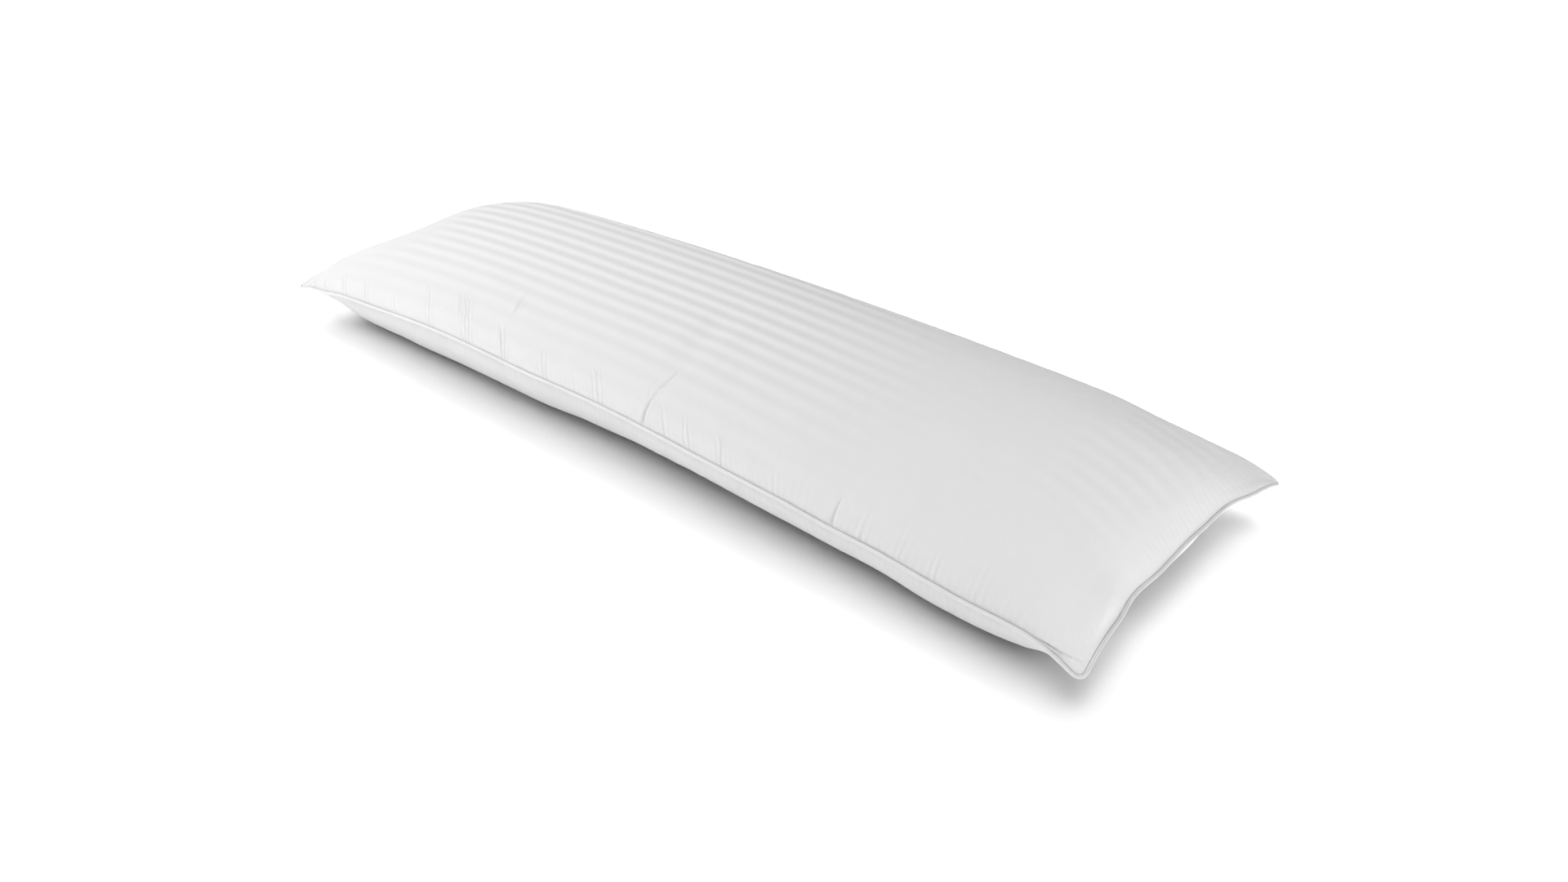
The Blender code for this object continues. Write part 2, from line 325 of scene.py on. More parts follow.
def seam_height(x, y, along, across):
    rise = SIDE_RISE * (1 - along ** 2) + END_RISE * (1 - across ** 2) * along ** 2
    rise = rise + sum(bow.rise * bow_share(bow, x, y) for bow in SEAM_BOWS)
    return TIP_HEIGHT + rise - EAR_DROOP * nearness_to_tip(x, y) ** 2


def rest_on_floor(z):
    """Flattens what would sink below the floor, with a short soft edge round the flat."""
    eased = (z + CONTACT_SOFTNESS) ** 2 / (4 * CONTACT_SOFTNESS)
    return np.where(z < -CONTACT_SOFTNESS, 0, np.where(z > CONTACT_SOFTNESS, z, eased))


def panel_points(u, v, is_top):
    """The points of the filled pillow's skin for cloth points u, v of the top or the bottom panel."""
    x, y, along, across = place_on_plan(u, v)
    seam = seam_height(x, y, along, across)
    thickness = section(along, END_POWER, END_FULLNESS) * (1 - EAR_THINNING * nearness_to_tip(x, y))
    crown = CROWN_HEIGHT * section(across, CROWN_POWER, SECTION_FULLNESS) * thickness
    belly = BELLY_DEPTH * section(across, BELLY_POWER, SECTION_FULLNESS) * thickness
    top = seam + crown + SEAM_THICKNESS / 2
    bottom = rest_on_floor(seam - belly - SEAM_THICKNESS / 2)
    return np.stack([x, y, np.where(is_top, top, bottom)], axis=-1)


print("height of the crown:", round(float(panel_points(0, 0, True)[2]) * 1000, 1), "mm")

# %% [markdown]
# ## Swells
# Down settles in soft clumps, so both panels swell in some places and sink in others, by a few
# millimetres, and the underside of the left end is lifted. Each swell is one smooth hump that moves
# the skin along its normal. Its place is given on the cloth, in metres: along from the pillow's middle
# and across from the near seam. The short list after the table is the lower edge of the near side,
# which rises and falls along the pillow.

# %% Place the swells
Swell = namedtuple("Swell", "panel along across half_length half_width height")
SWELLS = [
    Swell("top", along=-0.70, across=0.08, half_length=0.10, half_width=0.09, height=0.002),
    Swell("top", along=-0.69, across=0.20, half_length=0.10, half_width=0.09, height=-0.004),
    Swell("top", along=-0.68, across=0.33, half_length=0.10, half_width=0.09, height=0.0035),
    Swell("top", along=0.62, across=0.43, half_length=0.10, half_width=0.10, height=-0.0061),
    Swell("top", along=0.70, across=0.44, half_length=0.10, half_width=0.10, height=-0.0069),
    Swell("top", along=0.742, across=0.09, half_length=0.030, half_width=0.06, height=0.005),
    Swell("bottom", along=0.742, across=0.27, half_length=0.03, half_width=0.12, height=0.008),
    Swell("bottom", along=-0.70, across=0.254, half_length=0.13, half_width=0.30, height=-0.020),
    Swell("bottom", along=-0.72, across=0.07, half_length=0.13, half_width=0.12, height=-0.016),
]
for along, height in ((-0.64, -0.0013), (-0.40, 0.0038), (-0.28, 0.0044), (-0.16, 0.0035),
                      (-0.04, -0.0005), (0.08, -0.0029), (0.20, -0.0043), (0.32, -0.0038),
                      (0.44, -0.0054), (0.56, -0.0008), (0.68, 0.0032)):
    SWELLS.append(Swell("bottom", along, across=0.05, half_length=0.12, half_width=0.05, height=height))
SWELL_HOLD = 0.014
print(len(SWELLS), "swells")

# %% [markdown]
# ## Creases
# Where the cloth is slack it folds into short creases, and most of them run up from the near seam
# towards the crown. Each is a furrow between two points of the cloth, with a low ridge on both sides,
# where the cloth is pushed up. It may bend a little on its way.

# %% Place the creases
Crease = namedtuple("Crease", "start_along start_across end_along end_across bend half_width depth")
CREASES = (
    Crease(0.1115, 0.112, 0.0990, 0.024, bend=0.0015, half_width=0.0036, depth=0.0017),
    Crease(0.1000, 0.064, 0.1030, -0.044, bend=0, half_width=0.0040, depth=0.0030),
    Crease(0.0860, 0.058, 0.0985, 0.032, bend=0, half_width=0.0035, depth=0.0009),
    Crease(0.105, 0.070, 0.060, 0.260, bend=0, half_width=0.030, depth=0.0026),
    Crease(-0.240, 0.130, -0.206, 0.062, bend=0.002, half_width=0.0042, depth=0.0030),
    Crease(-0.252, 0.128, -0.238, 0.114, bend=0, half_width=0.0035, depth=0.0018),
    Crease(-0.226, 0.122, -0.200, 0.070, bend=0.002, half_width=0.0035, depth=0.0016),
    Crease(-0.348, 0.078, -0.296, 0.026, bend=-0.002, half_width=0.0035, depth=0.0020),
    Crease(-0.226, 0.054, -0.180, 0.000, bend=-0.002, half_width=0.0034, depth=0.0014),
    Crease(0.416, 0.052, 0.416, -0.020, bend=0, half_width=0.0036, depth=0.0026),
    Crease(0.660, -0.008, 0.776, 0.046, bend=0.008, half_width=0.0030, depth=0.0036),
)
CREASE_RIDGES = 1.5
CREASE_HOLD = 0.006


def crease_push(crease, along, across):
    """How far a crease pushes the cloth out (or in, where negative)."""
    run_along = crease.end_along - crease.start_along
    run_across = crease.end_across - crease.start_across
    length = np.hypot(run_along, run_across)
    past_start, over_start = along - crease.start_along, across - crease.start_across
    done = 2 * (past_start * run_along + over_start * run_across) / length ** 2 - 1
    beside = (past_start * run_across - over_start * run_along) / length
    t = (beside - crease.bend * (1 - done ** 2)) / crease.half_width
    return -crease.depth * hump(done) * (1 - CREASE_RIDGES * t ** 2) * np.exp(-t ** 2)


print(len(CREASES), "creases, up to", round(max(crease.depth for crease in CREASES) * 1000, 1), "mm deep")

# %% Push the skin out and in


def on_panel(u, v):
    """Metres along from the pillow's middle and across from the near seam."""
    return u * CUT_LENGTH / 2, (v + 1) * CUT_WIDTH / 2


def skin_push(u, v, is_top):
    """How far the swells and creases push each cloth point out along the skin's normal."""
    along, across = on_panel(u, v)
    push = np.zeros_like(u)
    for swell in SWELLS:
        where = is_top if swell.panel == "top" else ~is_top
        by_length = hump((along - swell.along) / swell.half_length)
        by_width = hump((across - swell.across) / swell.half_width)
        push += np.where(where, swell.height * by_length * by_width, 0)
    from_seam = np.minimum(np.minimum(across, CUT_WIDTH - across), CUT_LENGTH / 2 - np.abs(along))
    push *= np.clip(from_seam / SWELL_HOLD, 0, 1) ** 2
    creased = sum(crease_push(crease, along, across) for crease in CREASES)
    return push + np.where(is_top, creased, 0) * np.clip(from_seam / CREASE_HOLD, 0, 1)


under_left_end = skin_push(np.array([-0.92]), np.array([-0.5]), np.array([False]))
print("the left end's underside is pushed in by", round(-float(under_left_end[0]) * 1000, 1), "mm")

# %% [markdown]
# ## A block cut like the cloth
# Both panels together are one closed skin. Two grids would have to be welded along their seam, so a
# block is cut into cells instead: its top becomes the top panel and its underside the bottom panel.
# While it is still a block, its x and y are the cloth's u and v, which is all that the functions above
# need to put each point in its place.

# %% Cut a block into cells
BLOCK_SIDE = 2
TOP_FACE = 0.99


def crowded(v, crowding):
    """Moves evenly spaced rows towards the two long seams, where the puckers are."""
    return v + crowding * np.sin(pi * v) / pi


def block_in_cloth_space(name, columns, rows, crowding=0, fine_strip=0):
    """A block of cells whose x and y are the cloth's u and v, and whose z is 1 on top and -1 below.

    The top's cells within fine_strip metres of the near seam are cut once more.
    """
    bm = bmesh.new()
    bmesh.ops.create_cube(bm, size=BLOCK_SIDE)
    for axis, cells in ((0, columns), (1, rows)):
        edges = [e for e in bm.edges if abs(e.verts[0].co[axis] - e.verts[1].co[axis]) > BLOCK_SIDE / 2]
        bmesh.ops.subdivide_edges(bm, edges=edges, cuts=cells - 1, use_grid_fill=True)
    for vertex in bm.verts:
        vertex.co.y = crowded(vertex.co.y, crowding)
    if fine_strip:
        strip_edge = 2 * fine_strip / CUT_WIDTH - 1
        centres = {face: face.calc_center_median() for face in bm.faces}
        fine = {face for face, centre in centres.items() if centre.z > TOP_FACE and centre.y < strip_edge}
        edges = [edge for edge in bm.edges if not fine.isdisjoint(edge.link_faces)]
        bmesh.ops.subdivide_edges(bm, edges=edges, cuts=1, use_grid_fill=True)
    mesh = bpy.data.meshes.new(name)
    bm.to_mesh(mesh)
    bm.free()
    print(name + ":", len(mesh.polygons), "faces")
    return mesh


# %% Move a block onto the filled form


def read_points(mesh):
    points = np.empty(len(mesh.vertices) * 3, np.float32)
    mesh.vertices.foreach_get("co", points)
    return points.reshape(-1, 3).astype(float)


def write_points(mesh, points):
    mesh.vertices.foreach_set("co", points.astype(np.float32).ravel())
    mesh.update()


def read_normals(mesh):
    normals = np.empty(len(mesh.vertices) * 3, np.float32)
    mesh.vertex_normals.foreach_get("vector", normals)
    return normals.reshape(-1, 3).astype(float)


def move_onto_skin(mesh, push_share=1):
    """Moves a block onto the filled form and gives its cloth coordinates back."""
    cloth = read_points(mesh)
    u, v, is_top = cloth[:, 0], cloth[:, 1], cloth[:, 2] > 0
    write_points(mesh, panel_points(u, v, is_top))
    pushed = read_points(mesh) + read_normals(mesh) * push_share * skin_push(u, v, is_top)[:, None]
    pushed[:, 2] = np.clip(pushed[:, 2], 0, None)
    write_points(mesh, pushed)
    print(mesh.name, "stands", round(float(pushed[:, 2].max()) * 1000, 1), "mm high")
    return u, v, is_top


# %% [markdown]
# ## Puckers by cloth simulation
# A panel is sewn to its piping a little fuller than the piping is long, and the filling pushes it out,
# so the cloth gathers into small puckers all round the seam. Drawing hundreds of them by hand is
# endless, and a simulation finds them by itself: its cloth rests a few per cent longer along the seam
# than the form it starts from. It starts with the creases at half depth, so that puckers gather where
# the creases are.

# %% Cut the gathered cloth
SIM_COLUMNS = 190
SIM_ROWS = 60
HALF_DEPTH = 0.5
SEAM_FULLNESS = 0.03
END_FULLNESS_SEWN = 0.05
GATHERED_WIDTH = 0.07
RIPPLE_HEIGHT = 0.0004
RIPPLE_COUNT = 24
SHORTEST_RIPPLE = 0.028
LONGEST_RIPPLE = 0.075
RIPPLE_LEAN = 0.4
SIDE_SEED = 1
END_SEED = 2
ON_SEAM = 1e-6
ON_FLOOR = 1e-4


def from_seams(u, v):
    """Metres of cloth to the nearest side seam and to the nearest end seam."""
    return (1 - np.abs(v)) * CUT_WIDTH / 2, (1 - np.abs(u)) * CUT_LENGTH / 2


def ripples(along, seed):
    """A faint irregular wave that tells the simulation where it may start to pucker."""
    rng = np.random.default_rng(seed)
    lengths = rng.uniform(SHORTEST_RIPPLE, LONGEST_RIPPLE, RIPPLE_COUNT)
    starts = rng.uniform(0, 2 * pi, RIPPLE_COUNT)
    return np.cos(along[:, None] * 2 * pi / lengths + starts).sum(axis=1) / np.sqrt(RIPPLE_COUNT / 2)


def cut_gathered_cloth():
    """The cloth to simulate: its mesh, its points at the start and at rest, and what is held."""
    mesh = block_in_cloth_space("gathered_cloth", SIM_COLUMNS, SIM_ROWS)
    u, v, is_top = move_onto_skin(mesh, push_share=HALF_DEPTH)
    from_side, from_end = from_seams(u, v)
    gathered_side = np.clip(1 - from_side / GATHERED_WIDTH, 0, 1)
    gathered_end = np.clip(1 - from_end / GATHERED_WIDTH, 0, 1)
    start = read_points(mesh)
    rest = start.copy()
    rest[:, 0] *= 1 + SEAM_FULLNESS * gathered_side
    rest[:, 1] *= 1 + END_FULLNESS_SEWN * gathered_end
    wave = ripples(u * CUT_LENGTH / 2 + RIPPLE_LEAN * from_side, SIDE_SEED) * gathered_side
    wave += ripples(v * CUT_WIDTH / 2, END_SEED) * gathered_end
    at_seam = (from_side < ON_SEAM) | (from_end < ON_SEAM)
    start += read_normals(mesh) * (RIPPLE_HEIGHT * wave * ~at_seam)[:, None]
    write_points(mesh, start)
    held = at_seam | (~is_top & (start[:, 2] < ON_FLOOR))
    return mesh, start, rest, held, (u, v, is_top)


# %% [markdown]
# The cloth settles for a few frames without gravity, because the form already hangs as it should, and
# under a light pressure, which is the down. The seam and the flat that rests on the floor are held.

# %% Let the cloth settle
SIM_FRAMES = 12


def settle(mesh, rest, held):
    """Runs the simulation and gives the points where the cloth comes to lie."""
    gathered = bpy.data.objects.new("gathered_cloth", mesh)
    bpy.context.scene.collection.objects.link(gathered)
    gathered.shape_key_add(name="filled")
    fuller = gathered.shape_key_add(name="fuller")
    fuller.data.foreach_set("co", rest.astype(np.float32).ravel())
    fuller.value = 0
    held_points = gathered.vertex_groups.new(name="held")
    held_points.add(np.flatnonzero(held).tolist(), 1, "REPLACE")
    cloth = gathered.modifiers.new("cloth", "CLOTH").settings
    cloth.vertex_group_mass = "held"
    cloth.rest_shape_key = fuller
    cloth.quality = 4
    cloth.mass = 0.05
    cloth.bending_stiffness = 10
    cloth.air_damping = 5
    cloth.use_pressure = True
    cloth.uniform_pressure_force = 1
    cloth.effector_weights.gravity = 0
    for frame_number in range(1, SIM_FRAMES + 1):
        bpy.context.scene.frame_set(frame_number)
    settled = read_points(gathered.evaluated_get(bpy.context.evaluated_depsgraph_get()).data)
    bpy.data.objects.remove(gathered)
    bpy.context.scene.frame_set(1)
    return settled


# %% [markdown]
# Only the puckers are wanted. The broad movement of the cloth is taken out again, because the form
# already has its measured size. A blur finds it: the blur is wider along the pillow than a pucker, so
# that no pucker is left in it, and narrow across, where the panel curves most. A point that would still
# move too far is held back.

# %% Keep the puckers
BROAD_ALONG = 0.050
BROAD_ACROSS = 0.009
MOST_MOVEMENT = 0.003
STILL = 1e-9


def blur(cells, reach):
    """The weights that blur a row of cells + 1 points over a share of its length."""
    place = np.linspace(0, 1, cells + 1)
    weights = np.exp(-((place[:, None] - place) / reach) ** 2 / 2)
    return weights / weights.sum(axis=1, keepdims=True)


def simulate_puckers():
    """How far the gathered seam moves each point of an even grid: [bottom and top, row, column, x y z]."""
    mesh, start, rest, held, (u, v, is_top) = cut_gathered_cloth()
    moved = settle(mesh, rest, held) - start
    column = np.rint((u + 1) / 2 * SIM_COLUMNS).astype(int)
    row = np.rint((v + 1) / 2 * SIM_ROWS).astype(int)
    grid = np.zeros((2, SIM_ROWS + 1, SIM_COLUMNS + 1, 3))
    grid[is_top.astype(int), row, column] = moved
    broad = np.einsum("ij,sjkc->sikc", blur(SIM_ROWS, BROAD_ACROSS / CUT_WIDTH), grid)
    broad = np.einsum("kl,silc->sikc", blur(SIM_COLUMNS, BROAD_ALONG / CUT_LENGTH), broad)
    fine = grid - broad
    size = np.linalg.norm(fine, axis=-1, keepdims=True)
    print("puckers move the cloth by up to", round(float(size.max()) * 1000, 1), "mm")
    return fine * np.minimum(1, MOST_MOVEMENT / np.maximum(size, STILL))


def on_the_grid(grid, u, v, is_top):
    """The grid's values at cloth points, blended between the four nearest."""
    column, row = (u + 1) / 2 * SIM_COLUMNS, (v + 1) / 2 * SIM_ROWS
    left = np.clip(column.astype(int), 0, SIM_COLUMNS - 1)
    low = np.clip(row.astype(int), 0, SIM_ROWS - 1)
    past_left, past_low = (column - left)[:, None], (row - low)[:, None]
    side = is_top.astype(int)
    near = grid[side, low, left] * (1 - past_left) + grid[side, low, left + 1] * past_left
    far = grid[side, low + 1, left] * (1 - past_left) + grid[side, low + 1, left + 1] * past_left
    return near * (1 - past_low) + far * past_low


puckers = simulate_puckers()

# %% [markdown]
# ## The woven stripe
# The stripes run along the pillow, about 27 mm apart, and are woven in, so their place is a distance
# across the cloth. They wander a little, because the weave lies slightly askew on the panel, and where
# the cloth past the crown is slack, they sag.

# %% Lay the stripe on the panel
STRIPE_PITCH = 0.0275
FIRST_STRIPE = 0.0081
SKEW_BY_POWER = (-0.0008, 0.0111, 0.0249, 0.0125)
SLACK_START = 0.19
SLACK_REACH = 0.20
SLACK_TURN = 0.0108
SLACK_SAG = 0.0233


def across_the_stripes(u, v, is_top):
    """How far across the stripes each cloth point lies. The weave runs a little askew on the panel."""
    across = on_panel(u, v)[1]
    skew = sum(amount * u ** power for power, amount in enumerate(SKEW_BY_POWER))
    past_middle = np.clip((across - SLACK_START) / SLACK_REACH, 0, None)
    slack = SLACK_TURN * past_middle * u - SLACK_SAG * past_middle ** 2
    return across + np.where(is_top, skew + slack, 0)


print("stripes on a panel:", int((CUT_WIDTH - FIRST_STRIPE) / STRIPE_PITCH) + 1)

# %% [markdown]
# The stripes show where the light catches their gloss, over the crown and down the left, and sink into
# the white elsewhere. That sheen is painted: the stripes are painted lighter and darker in the colour,
# as strongly as a strength on each point says. A stripe of one strength would look printed. So each
# point of the cloth has a strength for it: it climbs from the near seam over the crown, comes in from
# the left end, goes out to the right, and comes back in one patch near the right end.

# %% Say where the painted stripe sheen shows
FAINTEST = 0.04
CLIMB_START, CLIMB_REACH = 0.04, 0.18
CLIMB_LEAST, CLIMB_MOST = 0.08, 1.1
LEFT_START, LEFT_REACH, LEFT_SLANT, LEFT_POINT = -0.60, 0.12, 0.6, 0.17
RIGHT_END, RIGHT_REACH, RIGHT_SLANT = 0.52, 0.34, 0.35
BRIGHTER, BRIGHTER_END, BRIGHTER_REACH = 0.2, -0.2, 0.3
BRIGHTER_ACROSS, BRIGHTER_CLIMB = 0.2, 0.1
PATCH, PATCH_MIDDLE, PATCH_HALF_LENGTH = 0.27, 0.65, 0.11
PATCH_ACROSS, PATCH_CLIMB = 0.10, 0.08


def soft_step(t):
    t = np.clip(t, 0, 1)
    return t * t * (3 - 2 * t)


def painted_stripe_sheen(u, v, is_top):
    """How strongly the stripes' sheen is painted: strong over the crown, where they catch the light, and
    fading elsewhere.
    """
    along, across = on_panel(u, v)
    up_the_crown = np.clip((across - CLIMB_START) / CLIMB_REACH, CLIMB_LEAST, CLIMB_MOST)
    from_left = soft_step((along - LEFT_START + LEFT_SLANT * np.abs(across - LEFT_POINT)) / LEFT_REACH)
    to_right = soft_step((RIGHT_END - along - RIGHT_SLANT * across) / RIGHT_REACH)
    at_left = soft_step((BRIGHTER_END - along) / BRIGHTER_REACH)
    far_over = soft_step((across - BRIGHTER_ACROSS) / BRIGHTER_CLIMB)
    left_stretch = from_left * to_right * (1 + BRIGHTER * at_left * far_over)
    patch_length = hump((along - PATCH_MIDDLE) / PATCH_HALF_LENGTH)
    right_patch = PATCH * patch_length * soft_step((across - PATCH_ACROSS) / PATCH_CLIMB)
    return np.where(is_top, FAINTEST + up_the_crown * np.maximum(left_stretch, right_patch), FAINTEST)


print("the stripe's strength in the middle of the top:", round(float(painted_stripe_sheen(0, 0, True)), 2))

# %% [markdown]
# ## Gathers at the seam
# Between the larger puckers the stitching drags fine lines into the cloth: short groups of upright
# lines that start at the near seam and fade upwards. They are too fine for the mesh, so each group is
# a row of this table, in metres along the seam, and the material draws its lines as relief, with
# painted shade in their furrows.

# %% Place the gathers
Gather = namedtuple("Gather", "along half_length top depth")
GATHERS = (
    Gather(-0.692, half_length=0.024, top=0.046, depth=0.0008),
    Gather(-0.655, half_length=0.016, top=0.042, depth=0.0009),
    Gather(-0.598, half_length=0.018, top=0.048, depth=0.0009),
    Gather(-0.534, half_length=0.018, top=0.042, depth=0.0010),
    Gather(-0.450, half_length=0.014, top=0.034, depth=0.0005),
    Gather(-0.362, half_length=0.016, top=0.070, depth=0.0009),
    Gather(-0.267, half_length=0.026, top=0.076, depth=0.0010),
    Gather(-0.182, half_length=0.018, top=0.052, depth=0.0010),
    Gather(-0.093, half_length=0.016, top=0.048, depth=0.0009),
    Gather(-0.030, half_length=0.010, top=0.034, depth=0.0005),
    Gather(0.015, half_length=0.020, top=0.052, depth=0.0010),
    Gather(0.145, half_length=0.012, top=0.044, depth=0.0009),
    Gather(0.186, half_length=0.016, top=0.046, depth=0.0009),
    Gather(0.245, half_length=0.012, top=0.044, depth=0.0009),
    Gather(0.330, half_length=0.014, top=0.034, depth=0.0005),
    Gather(0.456, half_length=0.014, top=0.042, depth=0.0007),
    Gather(0.512, half_length=0.016, top=0.054, depth=0.0003),
    Gather(0.556, half_length=0.014, top=0.038, depth=0.0007),
    Gather(0.612, half_length=0.018, top=0.056, depth=0.0003),
)
GATHER_FADE = 0.018
SEAM_GATHER, SEAM_GATHER_REACH = 0.00025, 0.040
END_GATHER, END_GATHER_REACH = 0.0004, 0.045
STITCHED_EDGE = 0.004
LEAN, LEAN_MORE, LEAN_TOP = 0.3, 8, 0.09
UPRIGHT_FROM, LEAN_REACH = 0.42, 0.17


def gather_place(along, across):
    """Where the line through a cloth point meets the seam: lines lean to the left as they rise."""
    near = np.clip(across, 0, LEAN_TOP)
    return along + (LEAN * near + LEAN_MORE * near ** 2) * soft_step((UPRIGHT_FROM - along) / LEAN_REACH)


def gathered(u, v, is_top):
    """The gathers' lines: where each meets the seam, and how deep they are at the sides and the ends."""
    along, across = on_panel(u, v)
    place = gather_place(along, across)
    from_side, from_end = from_seams(u, v)
    depth = SEAM_GATHER * np.clip(1 - from_side / SEAM_GATHER_REACH, 0, 1)
    for gather in GATHERS:
        group = gather.depth * hump((place - gather.along) / gather.half_length)
        depth += np.where(is_top, group * soft_step((gather.top - across) / GATHER_FADE), 0)
    end_depth = END_GATHER * np.clip(1 - from_end / END_GATHER_REACH, 0, 1)
    return place, depth * np.clip(from_side / STITCHED_EDGE, 0, 1), end_depth


print(len(GATHERS), "groups of gathers on the near side")

# %% [markdown]
# ## The cover
# The cover is one closed skin of two panels, cut finer near the seams, where the small shapes are. Each
# point carries what the cotton needs to know: where it lies in the weave, how strongly the painted
# sheen of the stripes shows there, and how deep the gathers are.

# %% Make the cover
COLUMNS = 400
ROWS = 72
ROW_CROWDING = 0.50
FINE_STRIP = 0.085


def note_on_points(mesh, name, values):
    """Writes one number on each point of the mesh, for the material to read."""
    mesh.attributes.new(name, "FLOAT", "POINT").data.foreach_set("value", values.astype(np.float32))


def make_cover():
    mesh = block_in_cloth_space("pillow_cover", COLUMNS, ROWS, ROW_CROWDING, FINE_STRIP)
    u, v, is_top = move_onto_skin(mesh)
    if puckers is not None:
        points = read_points(mesh) + on_the_grid(puckers, u, v, is_top)
        points[:, 2] = np.clip(points[:, 2], 0, None)
        write_points(mesh, points)

    corner_vertex = np.empty(len(mesh.loops), np.int32)
    mesh.loops.foreach_get("vertex_index", corner_vertex)
    weave = np.stack([u * CUT_LENGTH / 2, across_the_stripes(u, v, is_top)], axis=-1)
    layer = mesh.uv_layers.new(name="cloth_metres")
    layer.data.foreach_set("uv", weave[corner_vertex].astype(np.float32).ravel())
    # The painted stripe sheen: how strongly the stripes are painted lighter and darker on each point.
    note_on_points(mesh, "painted_stripe_sheen", painted_stripe_sheen(u, v, is_top))
    for name, values in zip(("gather_place", "side_gathers", "end_gathers"), gathered(u, v, is_top)):
        note_on_points(mesh, name, values)
    mesh.shade_smooth()
    cover = bpy.data.objects.new("pillow_cover", mesh)
    bpy.context.scene.collection.objects.link(cover)
    return cover


cover = make_cover()
print("cover:", sum(len(face.vertices) - 2 for face in cover.data.polygons), "triangles")

# %% [markdown]
# ## Piping
# The seam is finished with a thin cord in a strip of cotton, sewn in between the two panels. It could
# be bevelled out of the cover's edge, but then its thickness would follow the cover's mesh. A curve
# with a round bevel keeps one thickness all round. It runs along the seam line, moved out by half its
# own thickness.

# %% Follow the seam
PIPING_DIAMETER = 0.0045
PIPING_CLEARANCE = 0.0005
PIPING_STATIONS = 1300
SEAM_POINTS_A_SIDE = 1200


def seam_line():
    """The seam's middle line, once round from the near left tip."""
    there = np.linspace(-1, 1, SEAM_POINTS_A_SIDE, endpoint=False)
    one = np.ones_like(there)
    u = np.concatenate([there, one, -there, -one])
    v = np.concatenate([-one, there, one, -there])
    x, y, along, across = place_on_plan(u, v)
    return np.stack([x, y, seam_height(x, y, along, across)], axis=-1)


def piping_path():
    """Evenly spaced points beside the seam line, half the piping's thickness further out."""
    line = seam_line()
    ahead = np.roll(line, -1, axis=0) - line
    passing = ahead + np.roll(ahead, 1, axis=0)
    outward = np.stack([passing[:, 1], -passing[:, 0], np.zeros(len(line))], axis=-1)
    outward /= np.linalg.norm(outward, axis=1, keepdims=True)
    line = line + outward * (PIPING_DIAMETER / 2 + PIPING_CLEARANCE)
    covered = np.cumsum(np.linalg.norm(ahead, axis=1))
    stations = np.linspace(covered[0], covered[-1], PIPING_STATIONS, endpoint=False)
    return np.stack([np.interp(stations, covered, line[:, axis]) for axis in range(3)], axis=-1)


# %% Make the piping
PIPING_ROUNDNESS = 3


def make_piping():
    path = piping_path()
    curve = bpy.data.curves.new("piping_cord", "CURVE")
    curve.dimensions = "3D"
    curve.bevel_depth = PIPING_DIAMETER / 2
    curve.bevel_resolution = PIPING_ROUNDNESS
    spline = curve.splines.new("POLY")
    spline.points.add(len(path) - 1)
    spline.points.foreach_set("co", np.c_[path, np.ones(len(path))].ravel())
    spline.use_cyclic_u = True
    cord = bpy.data.objects.new("piping_cord", curve)
    bpy.context.scene.collection.objects.link(cord)
    steps = np.roll(path, -1, axis=0) - path
    print("piping:", round(float(np.linalg.norm(steps, axis=1).sum()), 2), "m")
    return cord


piping = make_piping()

# %% [markdown]
# ## Nodes by helpers
# A material is a tree of nodes, which can be set up by hand in the shader editor. In a script each node
# takes three or four lines, so these helpers add one node each, or a few that belong together, and
# give back the output that the next node takes in.

# %% Helpers for any material


def fill(tree, socket, value):
    """Gives a socket its value: another node's output, a number, or a colour."""
    if isinstance(value, bpy.types.NodeSocket):
        tree.links.new(value, socket)
    elif socket.type == "RGBA" and isinstance(value, tuple):
        socket.default_value = (*value, 1)
    else:
        socket.default_value = value


def add_math(tree, operation, first, second=0):
    node = tree.nodes.new("ShaderNodeMath")
    node.operation = operation
    fill(tree, node.inputs[0], first)
    fill(tree, node.inputs[1], second)
    return node.outputs[0]


def around_zero(tree, share, strength):
    """Turns a share from 0 to 1 into a change of half the strength up or down."""
    return add_math(tree, "MULTIPLY", add_math(tree, "SUBTRACT", share, 0.5), strength)


def add_noise(tree, vector, scale, detail):
    noise = tree.nodes.new("ShaderNodeTexNoise")
    fill(tree, noise.inputs["Vector"], vector)
    fill(tree, noise.inputs["Scale"], scale)
    fill(tree, noise.inputs["Detail"], detail)
    return noise.outputs["Fac"]


def add_attribute(tree, name):
    """Reads a number that was written on the mesh's points."""
    attribute = tree.nodes.new("ShaderNodeAttribute")
    attribute.attribute_name = name
    return attribute.outputs["Fac"]


def stretched(tree, vector, by):
    scaling = tree.nodes.new("ShaderNodeVectorMath")
    scaling.operation = "MULTIPLY"
    fill(tree, scaling.inputs[0], vector)
    scaling.inputs[1].default_value = by
    return scaling.outputs[0]


def add_mix(tree, data_type, factor, first, second):
    mix = tree.nodes.new("ShaderNodeMix")
    mix.data_type = data_type
    inputs = [socket for socket in mix.inputs if socket.enabled]
    for socket, value in zip(inputs, (factor, first, second)):
        fill(tree, socket, value)
    return next(socket for socket in mix.outputs if socket.enabled)


def add_bump(tree, height, distance, over=None):
    bump = tree.nodes.new("ShaderNodeBump")
    fill(tree, bump.inputs["Height"], height)
    fill(tree, bump.inputs["Distance"], distance)
    if over is not None:
        fill(tree, bump.inputs["Normal"], over)
    return bump.outputs["Normal"]


def separated(tree, vector):
    parts = tree.nodes.new("ShaderNodeSeparateXYZ")
    tree.links.new(vector, parts.inputs[0])
    return parts.outputs["X"], parts.outputs["Y"], parts.outputs["Z"]


# %% [markdown]
# ## Threads, crinkle and gathers
# Cotton has three kinds of relief: its threads, a soft crinkle from being washed and pressed under the
# filling, and the gathers at the seam. Each is a height that a Bump node turns into shade, and one Bump
# stands on the other. Threads and gathers are waves in the cloth's own metres, so they stay sharp at
# any distance, which an image would not.

